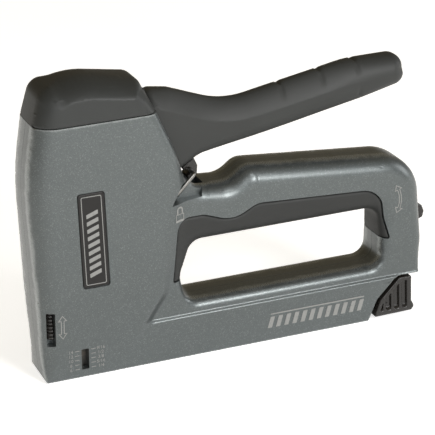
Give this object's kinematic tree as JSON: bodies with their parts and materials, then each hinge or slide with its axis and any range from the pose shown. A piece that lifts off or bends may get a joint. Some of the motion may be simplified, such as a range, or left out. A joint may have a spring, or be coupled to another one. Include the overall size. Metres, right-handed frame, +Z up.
{
  "type": "staple gun",
  "caption": "Hand staple gun with cast housing, squeeze lever, striker, pull-out magazine, lock bail, rear latch and power selector.",
  "frame": {"origin": "centre of the bounding box on the base plane, where the flat base and nose stand", "axes": "+X from the nose to the rear, +Y to the side with the screw heads, +Z up"},
  "size_m": [0.1886, 0.0348, 0.1374],
  "materials": {
    "cast_aluminium": "die-cast, satin metallic grey",
    "charcoal_plastic": "fine-grained charcoal",
    "grip_rubber": "soft matt",
    "black_plastic": "moulded black",
    "label_black": "plain printed plate",
    "bright_steel": "zinc-bright",
    "spring_steel": "oiled wire",
    "bronze": "sintered"
  },
  "bodies": {
    "housing": {"housing_left": "cast_aluminium", "housing_right": "cast_aluminium", "lever_bush_left": "bronze", "lever_bush_right": "bronze", "screw_grip": "bright_steel", "screw_head_middle": "bright_steel", "screw_head_rear": "bright_steel", "screw_head_top": "bright_steel", "screw_nose": "bright_steel", "screw_rear": "bright_steel", "top_cap": "charcoal_plastic", "grip_insert": "grip_rubber", "label_plate": "label_black", "lever_pin": "bright_steel", "nose_guide": "bright_steel", "magazine_liner": "bright_steel", "spring_seat": "bright_steel", "main_spring": "spring_steel", "bumper": "grip_rubber", "latch_pin": "bright_steel"},
    "lever": {"lever_handle": "charcoal_plastic", "lock_hook": "black_plastic", "lift_roller": "bright_steel", "roller_pin": "bright_steel"},
    "striker": {"striker": "bright_steel", "driver_blade": "bright_steel", "blade_rivet": "bright_steel"},
    "bail": {"lock_bail": "bright_steel"},
    "latch": {"rear_latch": "black_plastic"},
    "magazine": {"magazine_rail": "bright_steel", "guide_rod": "bright_steel", "magazine_end_cap": "black_plastic", "pusher_spring": "spring_steel"},
    "pusher": {"pusher": "black_plastic"},
    "selector": {"power_selector": "black_plastic"}
  },
  "joints": [
    {"name": "lever_squeeze", "type": "hinge", "parent": "housing", "child": "lever", "pos_m": [-0.03785, 0, 0.099], "axis": [0, 1, 0], "range_deg": [0, 14], "stiffness_Nm_per_rad": 1.2, "springref_deg": -20.05},
    {"name": "striker_lift", "type": "slide", "parent": "housing", "child": "striker", "axis": [0, 0, 1], "range_m": [0, 0.0099], "deforming": ["main_spring"]},
    {"name": "bail_swing", "type": "hinge", "parent": "housing", "child": "bail", "pos_m": [-0.02895, 0, 0.076], "axis": [0, 1, 0], "range_deg": [0, 25]},
    {"name": "latch_turn", "type": "hinge", "parent": "housing", "child": "latch", "pos_m": [0.08335, 0, 0.0474], "axis": [0, -1, 0], "range_deg": [0, 35]},
    {"name": "magazine_pull", "type": "slide", "parent": "housing", "child": "magazine", "axis": [1, 0, 0], "range_m": [0, 0.1]},
    {"name": "pusher_slide", "type": "slide", "parent": "magazine", "child": "pusher", "axis": [1, 0, 0], "range_m": [0, 0.095], "stiffness_N_per_m": 40, "springref_m": -0.05, "deforming": ["pusher_spring"]},
    {"name": "selector_slide", "type": "slide", "parent": "housing", "child": "selector", "axis": [0, 0, -1], "range_m": [0, 0.002]}
  ],
  "couplings": [
    {"joint": "striker_lift", "follows": "lever_squeeze", "m_per_rad": 0.0402}
  ]
}
